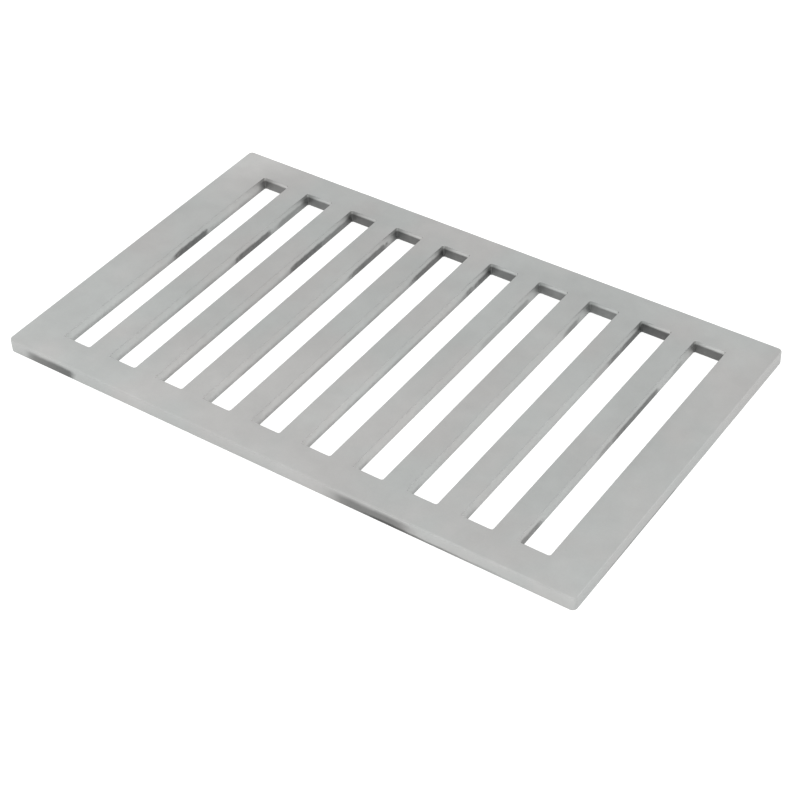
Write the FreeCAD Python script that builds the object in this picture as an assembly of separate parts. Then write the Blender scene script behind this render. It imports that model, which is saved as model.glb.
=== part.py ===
"""Flat slotted drain grate: one plate, cut through with a row of parallel slots.

Frame: millimetres, +Z up. X runs along the plate's long side (the way the slots
are spaced), Y runs along the slots. The origin is the centre of the underside,
the face that sits on the ledge of the drain's frame.
"""

import os

import FreeCAD
import Part

V = FreeCAD.Vector

# ---- driving dimensions (mm) -------------------------------------------------
LENGTH = 254.0          # long side, along X
WIDTH = 152.4           # short side, along Y
THICKNESS = 6.0         # plate thickness
CORNER_R = 2.0          # plan radius of the plate's four corners

SLOT_COUNT = 10         # slots in the row
SLOT_PITCH = 22.9       # centre to centre, along X
SLOT_WIDTH = 13.0       # clear width of a slot
SLOT_LENGTH = 126.5     # clear length of a slot, along Y
SLOT_CORNER_R = 0.8     # plan radius left by the cut in the slot's corners

TOP_EDGE_R = 0.8        # hand-eased radius round the outside of the walking face
SLOT_EDGE_R = 0.35      # deburred radius round each slot on the walking face
BOTTOM_EDGE_R = 0.3     # deburred radius on every edge of the underside


def rounded_rectangle(x0, x1, y0, y1, r, z):
    """Closed wire in the plane z: four straight runs joined by tangent arcs."""
    k = r * (1.0 - 2.0 ** -0.5)
    edges = [
        Part.LineSegment(V(x0 + r, y0, z), V(x1 - r, y0, z)).toShape(),
        Part.Arc(V(x1 - r, y0, z), V(x1 - k, y0 + k, z), V(x1, y0 + r, z)).toShape(),
        Part.LineSegment(V(x1, y0 + r, z), V(x1, y1 - r, z)).toShape(),
        Part.Arc(V(x1, y1 - r, z), V(x1 - k, y1 - k, z), V(x1 - r, y1, z)).toShape(),
        Part.LineSegment(V(x1 - r, y1, z), V(x0 + r, y1, z)).toShape(),
        Part.Arc(V(x0 + r, y1, z), V(x0 + k, y1 - k, z), V(x0, y1 - r, z)).toShape(),
        Part.LineSegment(V(x0, y1 - r, z), V(x0, y0 + r, z)).toShape(),
        Part.Arc(V(x0, y0 + r, z), V(x0 + k, y0 + k, z), V(x0 + r, y0, z)).toShape(),
    ]
    return Part.Wire(edges)


def prism(wire, height):
    return Part.Face(wire).extrude(V(0, 0, height))


# ---- plate blank -------------------------------------------------------------
blank = prism(
    rounded_rectangle(-LENGTH / 2, LENGTH / 2, -WIDTH / 2, WIDTH / 2, CORNER_R, 0.0),
    THICKNESS,
)

# ---- the row of slots, cut right through -------------------------------------
first = -SLOT_PITCH * (SLOT_COUNT - 1) / 2.0
cutters = []
for i in range(SLOT_COUNT):
    xc = first + SLOT_PITCH * i
    cutters.append(
        prism(
            rounded_rectangle(
                xc - SLOT_WIDTH / 2,
                xc + SLOT_WIDTH / 2,
                -SLOT_LENGTH / 2,
                SLOT_LENGTH / 2,
                SLOT_CORNER_R,
                -1.0,
            ),
            THICKNESS + 2.0,
        )
    )
plate = blank.cut(Part.makeCompound(cutters))
plate = plate.Solids[0]

# ---- eased edges: larger on the walking face, a plain deburr underneath -------
def rim(shape, z):
    return [
        e
        for e in shape.Edges
        if abs(e.BoundBox.ZMin - z) < 1e-6 and abs(e.BoundBox.ZMax - z) < 1e-6
    ]


def outside(edge):
    """True for an edge of the plate's outline, False for one round a slot."""
    c = edge.CenterOfMass
    return abs(c.x) > LENGTH / 2 - 5.0 or abs(c.y) > WIDTH / 2 - 5.0


plate = plate.makeFillet(SLOT_EDGE_R, [e for e in rim(plate, THICKNESS) if not outside(e)])
plate = plate.makeFillet(TOP_EDGE_R, [e for e in rim(plate, THICKNESS) if outside(e)])
plate = plate.makeFillet(BOTTOM_EDGE_R, rim(plate, 0.0))
plate = plate.Solids[0]
assert plate.isValid() and plate.isClosed() and len(plate.Faces) > 0

box = plate.BoundBox
print("solid valid:", plate.isValid(), "faces:", len(plate.Faces))
print("box %.3f x %.3f x %.3f mm, z from %.3f" % (box.XLength, box.YLength, box.ZLength, box.ZMin))
print("volume %.1f mm3" % plate.Volume)
print(
    "bar %.2f mm, end margin %.2f mm, side margin %.2f mm"
    % (
        SLOT_PITCH - SLOT_WIDTH,
        LENGTH / 2 + first - SLOT_WIDTH / 2,
        (WIDTH - SLOT_LENGTH) / 2,
    )
)

os.makedirs("parts", exist_ok=True)
plate.exportStep("parts/grate_plate.step")
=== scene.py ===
import math

import bmesh
import bpy
from mathutils import Matrix, Vector, noise
from mathutils.geometry import delaunay_2d_cdt


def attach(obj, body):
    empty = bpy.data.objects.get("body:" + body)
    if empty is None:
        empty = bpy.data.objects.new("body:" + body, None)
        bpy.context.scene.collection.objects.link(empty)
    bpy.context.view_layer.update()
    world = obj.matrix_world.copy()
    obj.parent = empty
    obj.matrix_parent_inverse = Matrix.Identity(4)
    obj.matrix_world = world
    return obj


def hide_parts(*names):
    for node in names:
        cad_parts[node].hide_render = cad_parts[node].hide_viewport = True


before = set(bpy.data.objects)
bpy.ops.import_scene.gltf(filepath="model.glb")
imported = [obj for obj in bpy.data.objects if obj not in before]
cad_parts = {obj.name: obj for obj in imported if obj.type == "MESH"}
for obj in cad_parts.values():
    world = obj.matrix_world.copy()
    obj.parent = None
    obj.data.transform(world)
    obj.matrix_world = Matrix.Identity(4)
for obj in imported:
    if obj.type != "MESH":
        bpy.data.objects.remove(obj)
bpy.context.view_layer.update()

# ---------------------------------------------------------------- sizes, mm
LENGTH, WIDTH, THICKNESS = 254.0, 152.4, 6.0
CORNER_R = 2.0
SLOT_COUNT, SLOT_PITCH = 10, 22.9
SLOT_WIDTH, SLOT_LENGTH, SLOT_CORNER_R = 13.0, 126.5, 0.8
TOP_R, SLOT_TOP_R, BOTTOM_R = 0.8, 0.35, 0.3
MM = 0.001

SLOT_X = [(i - (SLOT_COUNT - 1) / 2) * SLOT_PITCH for i in range(SLOT_COUNT)]
STEP = 1.5


# ---------------------------------------------------------------- plate mesh
def spread(lo, hi, step):
    """Evenly spaced values from lo to hi, both included."""
    n = max(1, round((hi - lo) / step))
    return [lo + (hi - lo) * i / n for i in range(n + 1)]


def ring(cx, cy, hx, hy, r, arc=7):
    """A rounded rectangle, anticlockwise, as (x, y, nx, ny) with the normal pointing away from its centre."""
    xs, ys = spread(-(hx - r), hx - r, STEP), spread(-(hy - r), hy - r, STEP)
    out = []

    def corner(ax, ay, start):
        for k in range(1, arc):
            t = math.radians(start + 90.0 * k / arc)
            out.append((cx + ax + r * math.cos(t), cy + ay + r * math.sin(t), math.cos(t), math.sin(t)))

    out += [(cx + hx, cy + y, 1.0, 0.0) for y in ys]
    corner(hx - r, hy - r, 0.0)
    out += [(cx + x, cy + hy, 0.0, 1.0) for x in reversed(xs)]
    corner(-(hx - r), hy - r, 90.0)
    out += [(cx - hx, cy + y, -1.0, 0.0) for y in reversed(ys)]
    corner(-(hx - r), -(hy - r), 180.0)
    out += [(cx + x, cy - hy, 0.0, -1.0) for x in xs]
    corner(hx - r, -(hy - r), 270.0)
    return out


def rounded_distance(x, y, cx, cy, hx, hy, r):
    """Signed distance to a rounded rectangle, negative inside."""
    qx, qy = abs(x - cx) - (hx - r), abs(y - cy) - (hy - r)
    return math.hypot(max(qx, 0.0), max(qy, 0.0)) + min(max(qx, qy), 0.0) - r


def n3(x, y, z, scale, seed):
    return noise.noise(Vector((x * scale + seed, y * scale - seed * 0.7, z * scale + seed * 1.3)))


def profile(top_r):
    """The section of an edge as (depth into the metal, height, share of sideways normal), from the underside up to the top face."""
    pts = [(BOTTOM_R + 0.3, 0.0, 0.0), (BOTTOM_R, 0.0, 0.0)]
    for k in range(1, 3):
        t = math.pi / 2 * k / 3
        pts.append((BOTTOM_R * (1 - math.sin(t)), BOTTOM_R * (1 - math.cos(t)), math.sin(t)))
    low, high = BOTTOM_R, THICKNESS - top_r
    pts += [(0.0, low, 1.0), (0.0, low + 0.25, 1.0)]
    for k in range(1, 5):
        pts.append((0.0, low + 0.25 + (high - 0.2 - low - 0.25) * k / 5, 1.0))
    pts += [(0.0, high - 0.2, 1.0), (0.0, high, 1.0)]
    for k in range(1, 6):
        t = math.pi / 2 * k / 6
        pts.append((top_r * (1 - math.cos(t)), high + top_r * math.sin(t), math.cos(t)))
    pts += [(top_r, THICKNESS, 0.0), (TOP_R + 0.35, THICKNESS, 0.0)]
    return pts


def settle(x, y, z, nx, ny, side, wave):
    """Moves a point a few hundredths of a millimetre into the metal: rolled faces and cut walls are never dead flat."""
    w = side * side
    face = 0.022 * (0.5 + 0.5 * n3(x, y, z, 0.035, 3.1)) + 0.008 * (0.5 + 0.5 * n3(x, y, z, 0.19, 8.4))
    cut = wave * (0.5 + 0.5 * n3(x, y, z * 0.5, 0.11, 5.7)) + 0.3 * wave * (0.5 + 0.5 * n3(x, y, z * 0.3, 0.33, 1.9))
    dz = face * (1.0 - w)
    z = z - dz if z > THICKNESS / 2 else z + dz
    return x - nx * cut * w, y - ny * cut * w, z


def build_plate():
    bm = bmesh.new()
    rings = [(ring(0, 0, LENGTH / 2, WIDTH / 2, CORNER_R), 1.0, 0.05, TOP_R)]
    for cx in SLOT_X:
        rings.append((ring(cx, 0, SLOT_WIDTH / 2, SLOT_LENGTH / 2, SLOT_CORNER_R), -1.0, 0.03, SLOT_TOP_R))

    flats = {"top": [], "bottom": []}
    for pts, sign, wave, eased_r in rings:
        columns = []
        for x, y, nx, ny in pts:
            nx, ny = nx * sign, ny * sign
            top_r = eased_r * (1.0 + 0.16 * n3(x, y, 0, 0.06, 12.3) + 0.08 * n3(x, y, 0, 0.4, 4.4))
            column = []
            for d, z, side in profile(top_r):
                p = settle(x - nx * d, y - ny * d, z, nx, ny, side, wave)
                column.append(bm.verts.new([c * MM for c in p]))
            columns.append((column, x, y, nx, ny, top_r))
        n = len(columns)
        for i in range(n):
            a, b = columns[i][0], columns[(i + 1) % n][0]
            for k in range(len(a) - 1):
                quad = (a[k], b[k], b[k + 1], a[k + 1])
                bm.faces.new(quad if sign > 0 else quad[::-1])
        flats["top"].append([c[0][-1] for c in columns])
        flats["bottom"].append([c[0][0] for c in columns])

    # the two flat faces, on a grid that follows the bars
    half_x, half_y = SLOT_WIDTH / 2, SLOT_LENGTH / 2
    xs = spread(-LENGTH / 2, SLOT_X[0] - half_x, STEP)
    for i, cx in enumerate(SLOT_X):
        xs += spread(cx - half_x, cx + half_x, STEP)[1:]
        nxt = SLOT_X[i + 1] - half_x if i + 1 < SLOT_COUNT else LENGTH / 2
        xs += spread(cx + half_x, nxt, STEP)[1:]
    straight = half_y - SLOT_CORNER_R
    ys = spread(-WIDTH / 2, -straight, STEP) + spread(-straight, straight, STEP)[1:] + spread(straight, WIDTH / 2, STEP)[1:]

    for face, depth in (("top", TOP_R + 0.35), ("bottom", BOTTOM_R + 0.3)):
        z = THICKNESS if face == "top" else 0.0
        verts, points, edges, owner = [], [], [], []
        for number, loop in enumerate(flats[face]):  # 0 is the outline, the rest are slots
            base = len(points)
            for k, v in enumerate(loop):
                verts.append(v)
                owner.append(number)
                points.append(Vector((v.co.x / MM, v.co.y / MM)))
                edges.append((base + k, base + (k + 1) % len(loop)))
        for x in xs:
            for y in ys:
                gap = -rounded_distance(x, y, 0, 0, LENGTH / 2, WIDTH / 2, CORNER_R)
                for cx in SLOT_X:
                    if abs(x - cx) < SLOT_PITCH:
                        gap = min(gap, rounded_distance(x, y, cx, 0, half_x, half_y, SLOT_CORNER_R))
                if gap > depth + 0.65:
                    verts.append(bm.verts.new([c * MM for c in settle(x, y, z, 0, 0, 0.0, 0.0)]))
                    owner.append(-1)
                    points.append(Vector((x, y)))
        flat_points, _, tris, origin, _, _ = delaunay_2d_cdt(points, edges, [], 0, 1e-6)
        made = []
        for tri in tris:
            p, q, s = (flat_points[i] for i in tri)
            if abs((q - p).cross(s - p)) < 1e-3:
                continue
            loops = {owner[origin[i][0]] for i in tri}
            if len(loops) == 1 and loops.pop() > 0:  # across a slot's opening
                continue
            corners = [verts[origin[i][0]] for i in tri]
            made.append(bm.faces.new(corners if face == "top" else corners[::-1]))
        bmesh.ops.join_triangles(bm, faces=made, angle_face_threshold=math.radians(8), angle_shape_threshold=math.radians(50))

    bmesh.ops.recalc_face_normals(bm, faces=bm.faces)
    for f in bm.faces:
        f.smooth = True
    mesh = bpy.data.meshes.new("grate_body")
    bm.to_mesh(mesh)
    bm.free()
    return mesh


plate = bpy.data.objects.new("grate_body", build_plate())
bpy.context.scene.collection.objects.link(plate)


# ---------------------------------------------------------------- finish
class Nodes:
    """Short hands for building a node tree."""

    def __init__(self, tree):
        self.tree = tree

    def new(self, kind, **props):
        node = self.tree.nodes.new(kind)
        for k, v in props.items():
            setattr(node, k, v)
        return node

    def put(self, socket, value):
        if isinstance(value, bpy.types.NodeSocket):
            self.tree.links.new(value, socket)
        elif value is not None:
            socket.default_value = value

    def math(self, op, a, b=None, c=None, clamp=False):
        node = self.new("ShaderNodeMath", operation=op, use_clamp=clamp)
        for socket, value in zip(node.inputs, (a, b, c)):
            self.put(socket, value)
        return node.outputs[0]

    def vec(self, op, a, b=None):
        node = self.new("ShaderNodeVectorMath", operation=op)
        self.put(node.inputs[0], a)
        if op == "SCALE":
            self.put(node.inputs["Scale"], b)
        else:
            self.put(node.inputs[1], b)
        return node.outputs[0]

    def noise(self, vector, scale, detail=4.0, rough=0.55, distortion=0.0):
        node = self.new("ShaderNodeTexNoise", noise_dimensions="3D")
        self.put(node.inputs["Vector"], vector)
        node.inputs["Scale"].default_value = scale
        node.inputs["Detail"].default_value = detail
        node.inputs["Roughness"].default_value = rough
        node.inputs["Distortion"].default_value = distortion
        return node.outputs["Fac"]

    def remap(self, value, lo, hi, to_lo=0.0, to_hi=1.0, smooth=True):
        node = self.new("ShaderNodeMapRange", interpolation_type="SMOOTHSTEP" if smooth else "LINEAR", clamp=True)
        for socket, v in zip(node.inputs, (value, lo, hi, to_lo, to_hi)):
            self.put(socket, v)
        return node.outputs[0]

    def mix(self, fac, a, b):
        node = self.new("ShaderNodeMix", data_type="RGBA")
        self.put(node.inputs[0], fac)
        self.put(node.inputs[6], a)
        self.put(node.inputs[7], b)
        return node.outputs[2]

    def lerp(self, fac, a, b):
        node = self.new("ShaderNodeMix", data_type="FLOAT")
        self.put(node.inputs[0], fac)
        self.put(node.inputs[2], a)
        self.put(node.inputs[3], b)
        return node.outputs[0]


# painted shadow: dark stretches along the foot of the slots' left walls: slot, from y, to y, strength
STRETCHES = (
    (0, 1.5, 25.0, 0.97),
    (1, 13.0, 37.5, 0.93), (1, 41.0, 64.0, 0.55),
    (2, 19.5, 44.0, 0.95), (2, 40.0, 64.0, 0.75),
    (3, 29.5, 56.0, 0.87),
    (4, 39.5, 64.0, 0.9),
    (5, 43.5, 51.0, 0.8), (5, 50.0, 64.0, 0.95),
    (6, 20.0, 40.0, 0.25), (6, 38.5, 55.0, 0.5),
    (7, 44.0, 54.5, 0.62),
    (8, 24.0, 40.0, 0.25), (8, 37.0, 48.0, 0.8), (8, 46.0, 64.0, 0.95),
    (9, -9.0, 6.0, 0.45), (9, 0.5, 35.0, 0.85), (9, 45.0, 54.0, 0.35), (9, -64.0, -47.0, 0.7),
)


def steel_finish():
    mat = bpy.data.materials.new("satin_stainless_plate")
    mat.use_nodes = True
    tree = mat.node_tree
    tree.nodes.clear()
    N = Nodes(tree)
    out = N.new("ShaderNodeOutputMaterial")
    bsdf = N.new("ShaderNodeBsdfPrincipled")
    tree.links.new(bsdf.outputs[0], out.inputs["Surface"])
    bsdf.inputs["Metallic"].default_value = 1.0

    coord = N.new("ShaderNodeTexCoord")
    P = N.vec("SCALE", coord.outputs["Object"], 1000.0)  # millimetres
    sep = N.new("ShaderNodeSeparateXYZ")
    N.put(sep.inputs[0], P)
    x, y, z = sep.outputs
    nrm = N.new("ShaderNodeSeparateXYZ")
    N.put(nrm.inputs[0], coord.outputs["Normal"])
    nx, ny, nz = nrm.outputs
    ax, ay = N.math("ABSOLUTE", x), N.math("ABSOLUTE", y)

    # where on the plate
    wall = N.remap(N.math("ABSOLUTE", nz), 0.28, 0.02)
    under = N.remap(nz, -0.4, -0.9)
    inside = N.math("MULTIPLY", N.remap(ax, 121.5, 119.5), N.remap(ay, 69.5, 67.5))
    outside = N.math("SUBTRACT", 1.0, inside)
    slot_wall = N.math("MULTIPLY", wall, inside)
    outer_wall = N.math("MULTIPLY", wall, outside)
    end_wall = N.math("MULTIPLY", slot_wall, N.remap(N.math("ABSOLUTE", ny), 0.6, 0.95))
    side_wall = N.math("MULTIPLY", slot_wall, N.remap(N.math("ABSOLUTE", nx), 0.6, 0.95))
    turn = N.math("MINIMUM", N.math("ABSOLUTE", nx), N.math("ABSOLUTE", ny))  # above 0 where a wall bends round a corner
    corner = N.math("MULTIPLY", slot_wall, N.remap(turn, 0.1, 0.35))
    straight = N.math("MULTIPLY", wall, N.remap(turn, 0.14, 0.05))
    eased = N.math("MULTIPLY", N.remap(nz, 0.12, 0.5), N.remap(nz, 0.995, 0.9))

    # noise fields
    clouds = N.noise(P, 0.022, 3.0, 0.5, 0.4)
    mottle = N.noise(P, 0.13, 5.0, 0.6)
    grain = N.noise(P, 1.9, 3.0, 0.6)
    speck = N.noise(P, 0.85, 2.0, 0.5)
    hue = N.noise(N.vec("ADD", P, (71.0, 23.0, 5.0)), 0.03, 2.0, 0.5)
    broken = N.noise(P, 0.09, 4.0, 0.6)

    # brightness of the rolled face
    tone = N.remap(clouds, 0.3, 0.7, 0.955, 1.045, smooth=False)
    tone = N.math("MULTIPLY", tone, N.remap(mottle, 0.25, 0.75, 0.955, 1.045, smooth=False))
    tone = N.math("MULTIPLY", tone, N.remap(grain, 0.2, 0.8, 0.97, 1.03, smooth=False))
    # painted light and shade on the top face from here on: a little lighter towards the outer edges and the front,
    # lighter at the rear-left corner and the rear of the right end, and on the left lighter towards the front
    rim = N.math("MAXIMUM", N.remap(ax, 108.0, 116.0, 0.0, 0.8), N.remap(ay, 62.0, 74.0))
    tone = N.math("MULTIPLY", tone, N.remap(rim, 0.0, 1.0, 0.98, 1.01, smooth=False))
    tone = N.math("MULTIPLY", tone, N.remap(y, 45.0, -70.0, 0.955, 1.025, smooth=False))
    bright_corner = N.math("MULTIPLY", N.remap(x, -94.0, -121.0), N.remap(y, 14.0, 52.0))
    tone = N.math("MULTIPLY", tone, N.lerp(bright_corner, 1.0, 1.125))
    tone = N.math("MULTIPLY", tone, N.lerp(N.math("MULTIPLY", N.remap(x, 96.0, 120.0), N.remap(y, 5.0, 40.0)), 1.0, 1.025))
    # painted shade: darker towards the front between the middle and the right end, eased off at the front-right corner
    painted_dim = N.math("MULTIPLY", N.remap(x, 0.0, 85.0), N.remap(y, 30.0, -15.0))
    near_corner = N.math("MULTIPLY", N.remap(x, 92.0, 118.0), N.remap(nz, 0.3, 0.9))
    painted_dim = N.math("MULTIPLY", painted_dim, N.lerp(near_corner, 1.0, N.remap(y, -76.0, -58.0, 0.2, 1.0)))
    tone = N.math("MULTIPLY", tone, N.lerp(painted_dim, 0.995, 0.955))
    fade = N.math("MAXIMUM", N.remap(y, 8.0, -60.0, 0.965, 1.035), N.remap(y, 42.0, 66.0, 0.96, 1.0))
    tone = N.math("MULTIPLY", tone, N.lerp(N.remap(x, 35.0, -50.0), 1.0, fade))
    # painted shade keeps the outer walls and their rounded edges level with the top, and a faint painted glint lies on
    # the right half of the front edge
    outer_round = N.math("MULTIPLY", outside, N.remap(N.math("ABSOLUTE", nz), 0.8, 0.1))
    tone = N.math("MULTIPLY", tone, N.lerp(outer_round, 1.0, N.lerp(N.remap(ny, -0.3, -0.9), 0.64, N.remap(x, -60.0, 100.0, 0.65, 0.715))))
    glint = N.math("MULTIPLY", N.math("MULTIPLY", N.math("MULTIPLY", eased, outside), N.remap(ny, -0.1, -0.5)), N.remap(x, 30.0, 75.0))
    tone = N.math("MULTIPLY", tone, N.lerp(glint, 1.0, N.remap(broken, 0.35, 0.65, 0.98, 1.07)))

    # slot walls, painted shade: the long sides a little darker, the short ends and the rounded corners dark below the
    # rim, the long sides darker near the far end, and a dark line along the foot of the long sides
    tone = N.math("MULTIPLY", tone, N.lerp(side_wall, 1.0, 0.83))
    number = N.math("ROUND", N.math("ADD", N.math("DIVIDE", x, SLOT_PITCH), (SLOT_COUNT - 1) / 2))  # 0 at the left
    wave = N.math("COSINE", N.math("MULTIPLY", number, 2.0 * math.pi / 6.5))
    end_dark = N.math("ADD", 0.335, N.math("MULTIPLY", wave, 0.055))
    ninth = N.remap(N.math("ABSOLUTE", N.math("SUBTRACT", number, 8.0)), 0.3, 0.2)
    end_dark = N.math("MULTIPLY", end_dark, N.lerp(ninth, 1.0, 0.68))
    end_dark = N.math("MULTIPLY", end_dark, N.remap(mottle, 0.3, 0.7, 0.92, 1.1))
    below_rim = N.remap(N.math("ADD", z, N.math("MULTIPLY", N.math("SUBTRACT", broken, 0.5), 0.8)), 4.8, 3.8)
    ends = N.lerp(N.math("MULTIPLY", end_wall, below_rim), 1.0, end_dark)
    in_corner = N.math("MULTIPLY", N.math("MULTIPLY", side_wall, below_rim), N.remap(y, 58.0, 62.2))
    in_corner = N.math("MULTIPLY", in_corner, N.remap(x, 8.0, 25.0, 1.0, 0.5))
    ends = N.math("MULTIPLY", ends, N.lerp(in_corner, 1.0, 0.55))
    corner_dark = N.math("ADD", 0.14, N.math("MULTIPLY", end_dark, 1.05))
    tone = N.math("MULTIPLY", tone, N.math("MINIMUM", ends, N.lerp(N.math("MULTIPLY", corner, below_rim), 1.0, corner_dark)))

    # the painted shadow line is thin, and swells into a tapered dark stretch here and there
    fray = N.math("SUBTRACT", N.noise(P, 0.42, 4.0, 0.65), 0.5)
    reach = N.remap(x, 8.0, 25.0, 0.42, 0.12)
    reach = N.math("MULTIPLY", reach, N.remap(mottle, 0.35, 0.65, 0.7, 1.3))
    swell = 0.0
    yw = N.math("ADD", y, N.math("MULTIPLY", fray, 9.0))
    facing = N.remap(nx, 0.5, 0.9)
    for slot, lo, hi, dark in STRETCHES:
        here = N.math("MULTIPLY", facing, N.remap(N.math("ABSOLUTE", N.math("SUBTRACT", x, SLOT_X[slot] - SLOT_WIDTH / 2)), 2.5, 1.5))
        run = N.math("MULTIPLY", N.remap(yw, lo - 5.0, lo + 5.0), N.remap(yw, hi + 3.0, hi - 3.0))
        run = N.math("MULTIPLY", here, run)
        swell = N.math("MAXIMUM", swell, run)
        reach = N.math("MAXIMUM", reach, N.math("MULTIPLY", run, dark))
    reach = N.math("MAXIMUM", reach, N.math("MULTIPLY", N.math("MULTIPLY", facing, N.remap(y, -51.0, -56.0)), 0.42))
    reach = N.math("MULTIPLY", reach, N.remap(fray, -0.2, 0.2, 0.9, 1.05))
    ragged = N.math("ADD", N.math("SUBTRACT", broken, 0.5), N.math("MULTIPLY", fray, 1.6))
    foot = N.remap(N.math("SUBTRACT", N.math("ADD", z, ragged), N.math("MULTIPLY", swell, 1.3)), N.lerp(swell, 3.3, 2.6), N.lerp(swell, 0.2, 1.3))
    line = N.math("MULTIPLY", N.math("MULTIPLY", side_wall, foot), reach)
    tone = N.math("MULTIPLY", tone, N.math("SUBTRACT", 1.0, N.math("MULTIPLY", line, 0.74)))

    # dark marks on the lower half of the front wall, and painted shadow as a dark line along the foot of the front and
    # right walls
    front = N.math("MULTIPLY", outer_wall, N.remap(ny, -0.5, -0.9))
    xw = N.math("ADD", x, N.math("MULTIPLY", N.math("SUBTRACT", mottle, 0.5), 8.0))
    mark_a = N.math("MULTIPLY", N.remap(xw, -120.0, -114.0), N.remap(xw, -92.5, -96.5))
    mark_a = N.math("MULTIPLY", mark_a, N.remap(x, -118.0, -97.0, 0.85, 1.12))
    mark_b = N.math("MULTIPLY", N.remap(xw, 22.0, 36.0), N.remap(xw, 66.0, 53.0))
    lift = N.math("ADD", z, N.math("MULTIPLY", N.math("SUBTRACT", broken, 0.5), 1.4))
    mark_a = N.math("MULTIPLY", mark_a, N.remap(lift, 5.0, 2.9))
    mark_b = N.math("MULTIPLY", N.math("MULTIPLY", mark_b, 0.88), N.remap(lift, 5.8, 3.1))
    marks = N.math("MAXIMUM", mark_a, mark_b)
    # painted shadow: a dark line along the foot of the front wall
    front_foot_shade = N.math("MULTIPLY", N.remap(lift, 1.7, 0.7), N.math("MULTIPLY", N.remap(xw, 38.0, 48.0), N.remap(xw, 112.0, 64.0)))
    marks = N.math("MULTIPLY", marks, front)
    front_foot_shade = N.math("MULTIPLY", front_foot_shade, front)
    tone = N.math("MULTIPLY", tone, N.math("SUBTRACT", 1.0, N.math("MULTIPLY", marks, 0.53)))
    tone = N.math("MULTIPLY", tone, N.math("SUBTRACT", 1.0, N.math("MULTIPLY", front_foot_shade, 0.55)))
    # painted shadow: a dark line along the foot of the right wall, in its front half
    right_foot_shade = N.math("MULTIPLY", N.math("MULTIPLY", outer_wall, N.remap(nx, 0.5, 0.9)), N.math("MULTIPLY", N.remap(yw, -62.0, -50.0), N.remap(yw, -4.0, -12.0)))
    right_foot_shade = N.math("MULTIPLY", right_foot_shade, N.remap(lift, 1.3, 0.7))
    tone = N.math("MULTIPLY", tone, N.math("SUBTRACT", 1.0, N.math("MULTIPLY", right_foot_shade, 0.45)))

    tone = N.math("MULTIPLY", tone, N.lerp(under, 1.0, N.remap(mottle, 0.3, 0.7, 0.74, 0.9)))

    tint = N.mix(N.remap(hue, 0.35, 0.65), (0.596, 0.612, 0.602, 1.0), (0.612, 0.608, 0.598, 1.0))
    colour = N.vec("SCALE", tint, tone)
    N.put(bsdf.inputs["Base Color"], colour)

    # roughness
    rough = N.remap(mottle, 0.25, 0.75, 0.36, 0.44, smooth=False)
    rough = N.math("ADD", rough, N.remap(grain, 0.2, 0.8, -0.03, 0.03, smooth=False))
    rough = N.lerp(N.math("MULTIPLY", eased, 0.6), rough, 0.36)
    rough = N.lerp(slot_wall, rough, 0.52)
    rough = N.lerp(corner, rough, 0.85)
    rough = N.lerp(N.math("MULTIPLY", marks, 0.8), rough, 0.62)
    N.put(bsdf.inputs["Roughness"], rough)

    # relief: blasted grain on the faces, fine upright cut marks on the walls
    along = N.math("ADD", N.math("MULTIPLY", x, N.math("ABSOLUTE", ny)), N.math("MULTIPLY", y, N.math("ABSOLUTE", nx)))
    upright = N.new("ShaderNodeCombineXYZ")
    N.put(upright.inputs[0], along)
    N.put(upright.inputs[1], N.math("MULTIPLY", z, 0.06))
    cuts = N.noise(upright.outputs[0], 2.1, 3.0, 0.65)
    height = N.math("ADD", N.math("MULTIPLY", grain, 0.6), N.math("MULTIPLY", speck, 0.6))
    height = N.lerp(straight, height, N.math("ADD", N.math("MULTIPLY", cuts, 1.4), N.math("MULTIPLY", grain, 0.4)))
    bump = N.new("ShaderNodeBump")
    bump.inputs["Strength"].default_value = 0.35
    bump.inputs["Distance"].default_value = 0.00006
    N.put(bump.inputs["Height"], height)
    N.put(bsdf.inputs["Normal"], bump.outputs[0])
    return mat


plate.data.materials.append(steel_finish())
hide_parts("grate_plate")
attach(plate, "root")


# ---------------------------------------------------------------- floor and light
def floor_finish():
    mat = bpy.data.materials.new("pale_floor")
    mat.use_nodes = True
    bsdf = mat.node_tree.nodes["Principled BSDF"]
    bsdf.inputs["Base Color"].default_value = (0.8, 0.8, 0.8, 1.0)
    bsdf.inputs["Roughness"].default_value = 0.9
    bsdf.inputs["Specular IOR Level"].default_value = 0.0
    bsdf.inputs["Emission Color"].default_value = (1.0, 1.0, 1.0, 1.0)
    bsdf.inputs["Emission Strength"].default_value = 0.7
    return mat


mesh = bpy.data.meshes.new("floor")
R = 4.0
mesh.from_pydata([(-R, -R, -0.0001), (R, -R, -0.0001), (R, R, -0.0001), (-R, R, -0.0001)], [], [(0, 1, 2, 3)])
floor = bpy.data.objects.new("floor", mesh)
bpy.context.scene.collection.objects.link(floor)
mesh.materials.append(floor_finish())

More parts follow.
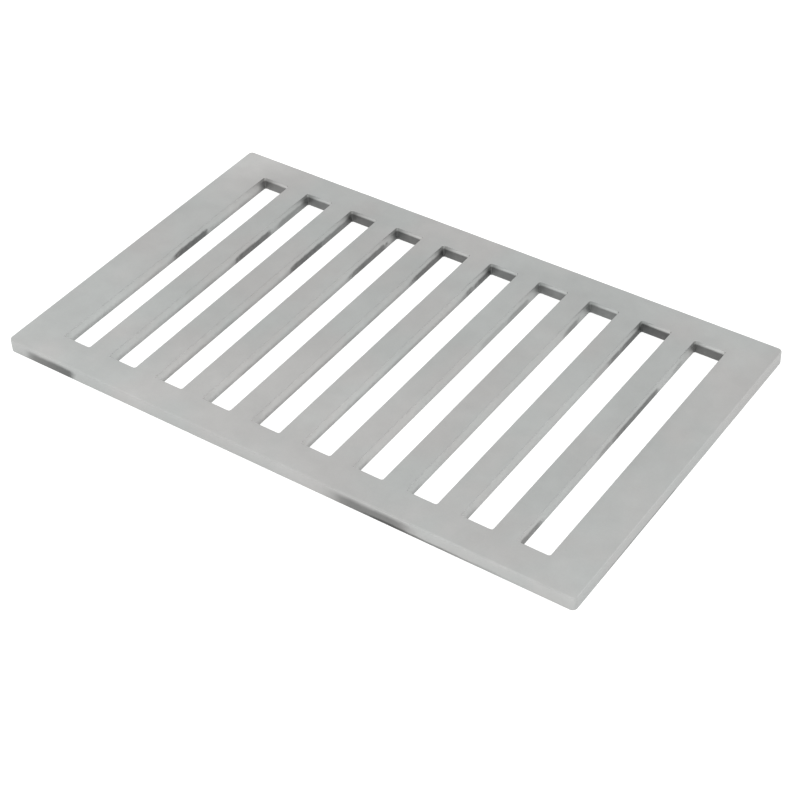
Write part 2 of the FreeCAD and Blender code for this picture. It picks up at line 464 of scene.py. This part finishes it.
world = bpy.context.scene.world or bpy.data.worlds.new("World")
bpy.context.scene.world = world
world.use_nodes = True
world.node_tree.nodes.clear()
W = Nodes(world.node_tree)
w_out = W.new("ShaderNodeOutputWorld")
w_bg = W.new("ShaderNodeBackground")
world.node_tree.links.new(w_bg.outputs[0], w_out.inputs["Surface"])
w_sep = W.new("ShaderNodeSeparateXYZ")
w_coord = W.new("ShaderNodeTexCoord")
W.put(w_sep.inputs[0], w_coord.outputs["Generated"])
level = W.remap(w_sep.outputs[2], 0.02, 0.16, 1.0, 0.79)
level = W.math("ADD", level, W.remap(w_sep.outputs[2], 0.52, 0.76, 0.0, 0.03))
W.put(w_bg.inputs["Strength"], level)
w_bg.inputs["Color"].default_value = (1.0, 1.0, 1.0, 1.0)


def softbox(name, at, aim, size, watts):
    light = bpy.data.lights.new(name, "AREA")
    light.shape = "SQUARE"
    light.size = size
    light.energy = watts
    ob = bpy.data.objects.new(name, light)
    ob.location = at
    ob.rotation_mode = "QUATERNION"
    ob.rotation_quaternion = (Vector(aim) - Vector(at)).to_track_quat("-Z", "Y")
    bpy.context.scene.collection.objects.link(ob)


softbox("overhead", (-0.2, -1.0, 2.2), (0, 0, 0), 2.4, 1.2)

# ---------------------------------------------------------------- camera
FOCAL_PX = 1926.81
a, e, r = (math.radians(v) for v in (36.4942, 40.9459, -2.7289))
back = Vector((math.sin(a) * math.cos(e), -math.cos(a) * math.cos(e), math.sin(e)))
fwd = -back
right = fwd.cross(Vector((0, 0, 1))).normalized()
up_v = right.cross(fwd)
right2 = right * math.cos(r) + up_v * math.sin(r)
up2 = up_v * math.cos(r) - right * math.sin(r)
cam_data = bpy.data.cameras.new("camera")
cam = bpy.data.objects.new("camera", cam_data)
bpy.context.scene.collection.objects.link(cam)
m = Matrix((right2, up2, back)).transposed().to_4x4()
m.translation = Vector((0.3400497, -0.4550758, 0.464296 + 0.006))
cam.matrix_world = m
cam_data.sensor_fit = "HORIZONTAL"
cam_data.sensor_width = 36.0
cam_data.lens = FOCAL_PX * 36.0 / 800.0
cam_data.clip_start, cam_data.clip_end = 0.01, 50.0
cam_data.dof.use_dof = False
bpy.context.scene.camera = cam

bpy.context.scene.view_settings.view_transform = "Standard"
bpy.context.scene.view_settings.look = "None"
bpy.context.scene.view_settings.exposure = 0.0
bpy.context.scene.view_settings.gamma = 1.0

bpy.context.view_layer.update()
